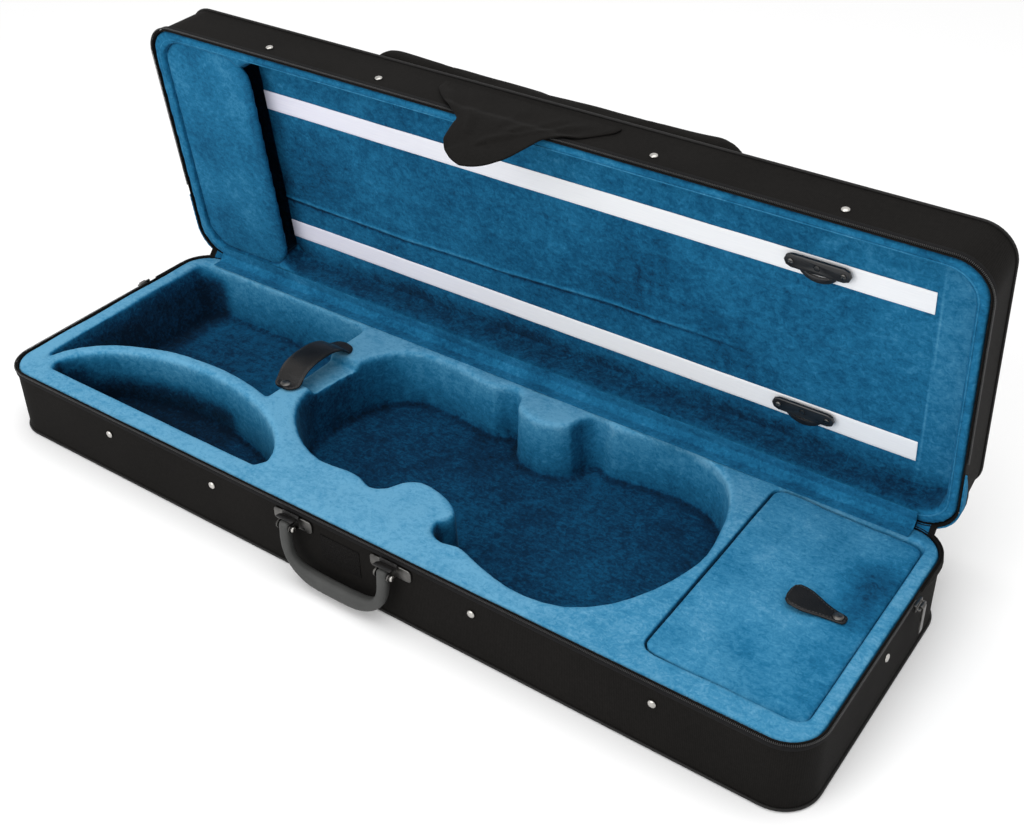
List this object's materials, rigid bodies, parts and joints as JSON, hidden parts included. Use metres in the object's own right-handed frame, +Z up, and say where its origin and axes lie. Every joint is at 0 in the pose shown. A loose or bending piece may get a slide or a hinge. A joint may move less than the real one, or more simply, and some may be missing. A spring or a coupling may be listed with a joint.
{
  "type": "violin case",
  "caption": "Oblong zipped violin case standing open: black fabric shell, blue velvet lining with shaped cavity, pockets, neck strap, lidded compartment, bow clips and front handle.",
  "frame": {"origin": "centre of the base's underside, on the surface it rests on", "axes": "+X along the case to the end with the lidded compartment, +Y to the hinge side, +Z up"},
  "size_m": [0.8202, 0.3388, 0.3224],
  "materials": {
    "black_nylon": "woven black nylon, matt",
    "black_piping": "cloth-covered piping",
    "shell_foam": "stiff foam board",
    "blue_velvet": "short-pile blue velvet",
    "zip_tape": "woven zip tape",
    "zip_coil": "nylon coil",
    "hook_and_loop": "hook-and-loop tape",
    "nickel": "bright nickel plate",
    "white_strip": "white satin ribbon",
    "black_plastic": "moulded black plastic",
    "black_leather": "black leatherette",
    "handle_rubber": "soft dark grey grip"
  },
  "bodies": {
    "base": {"base_cover": "black_nylon", "base_shell": "shell_foam", "base_insert": "blue_velvet", "base_piping": "black_piping", "base_zip_tape": "zip_tape", "base_zip_coil": "zip_coil", "base_loop_patch": "hook_and_loop", "hinge_web": "black_nylon", "hinge_lining": "blue_velvet", "strap_snap_stud": "nickel", "handle_bracket_left": "nickel", "handle_bracket_right": "nickel", "handle_pin_left": "nickel", "handle_pin_right": "nickel", "gusset_left": "blue_velvet", "gusset_right": "blue_velvet", "base_tack_end_left": "nickel", "base_tack_end_right": "nickel", "base_tack_1": "nickel", "base_tack_2": "nickel", "base_tack_3": "nickel", "base_tack_4": "nickel"},
    "lid": {"lid_cover": "black_nylon", "lid_shell": "shell_foam", "lid_lining": "blue_velvet", "lid_piping": "black_piping", "lid_zip_tape": "zip_tape", "lid_zip_coil": "zip_coil", "bow_tip_panel": "blue_velvet", "bow_strip_upper": "white_strip", "bow_strip_lower": "white_strip", "spinner_base_upper": "black_plastic", "spinner_base_lower": "black_plastic", "music_pocket": "black_nylon", "pocket_zip": "zip_tape", "lid_tack_1": "nickel", "lid_tack_2": "nickel", "lid_tack_3": "nickel", "lid_tack_4": "nickel", "spinner_screw_1": "nickel", "spinner_screw_2": "nickel", "spinner_screw_3": "nickel", "spinner_screw_4": "nickel"},
    "flap": {"closure_flap": "black_nylon", "flap_hook_patch": "hook_and_loop"},
    "clip_upper": {"spinner_clip_upper": "black_plastic"},
    "clip_lower": {"spinner_clip_lower": "black_plastic"},
    "accessory_door": {"accessory_lid": "blue_velvet", "accessory_tab": "black_leather", "tab_rivet": "nickel"},
    "strap": {"neck_strap": "black_leather", "strap_snap": "nickel"},
    "handle": {"handle_grip": "handle_rubber"},
    "slider_left": {"zip_slider_left": "nickel"},
    "slider_right": {"zip_slider_right": "nickel"},
    "pull_left": {"zip_pull_left": "nickel"},
    "pull_right": {"zip_pull_right": "nickel"},
    "pocket_slider_body": {"pocket_slider": "nickel"},
    "pocket_pull_body": {"pocket_pull": "nickel"}
  },
  "joints": [
    {"name": "lid_hinge", "type": "hinge", "parent": "base", "child": "lid", "pos_m": [0, 0.1255, 0.068], "axis": [-1, 0, 0], "range_deg": [-84, 0], "deforming": ["hinge_web", "hinge_lining", "gusset_left", "gusset_right"]},
    {"name": "flap_lift", "type": "hinge", "parent": "lid", "child": "flap", "pos_m": [0.003, 0.14103, 0.32201], "axis": [-1, 0, 0], "range_deg": [0, 100]},
    {"name": "spinner_turn_upper", "type": "hinge", "parent": "lid", "child": "clip_upper", "pos_m": [0.2665, 0.12731, 0.26125], "axis": [0, 0.9945, 0.1045], "range_deg": [-90, 90]},
    {"name": "spinner_turn_lower", "type": "hinge", "parent": "lid", "child": "clip_lower", "pos_m": [0.262, 0.1421, 0.12052], "axis": [0, 0.9945, 0.1045], "range_deg": [-90, 90]},
    {"name": "accessory_lid_hinge", "type": "hinge", "parent": "base", "child": "accessory_door", "pos_m": [0.262, 0, 0.0659], "axis": [0, -1, 0], "range_deg": [0, 100]},
    {"name": "strap_lift", "type": "hinge", "parent": "base", "child": "strap", "pos_m": [-0.16196, 0.073, 0.0668], "axis": [-1, 0, 0], "range_deg": [0, 95]},
    {"name": "handle_swing", "type": "hinge", "parent": "base", "child": "handle", "pos_m": [0.0055, -0.1354, 0.0535], "axis": [-1, 0, 0], "range_deg": [0, 120]},
    {"name": "zip_left_slide", "type": "slide", "parent": "base", "child": "slider_left", "axis": [0, -1, 0], "range_m": [0, 0.13]},
    {"name": "zip_right_slide", "type": "slide", "parent": "base", "child": "slider_right", "axis": [0, -1, 0], "range_m": [0, 0.13]},
    {"name": "pull_left_swing", "type": "hinge", "parent": "slider_left", "child": "pull_left", "pos_m": [-0.4082, 0.0475, 0.0644], "axis": [0, 1, 0], "range_deg": [0, 120]},
    {"name": "pull_right_swing", "type": "hinge", "parent": "slider_right", "child": "pull_right", "pos_m": [0.4082, 0.0475, 0.0644], "axis": [0, -1, 0], "range_deg": [0, 120]},
    {"name": "pocket_zip_slide", "type": "slide", "parent": "lid", "child": "pocket_slider_body", "axis": [1, 0, 0], "range_m": [0, 0.25]},
    {"name": "pocket_pull_swing", "type": "hinge", "parent": "pocket_slider_body", "child": "pocket_pull_body", "pos_m": [-0.128, 0.1864, 0.26545], "axis": [1, 0, 0], "range_deg": [0, 120]}
  ]
}
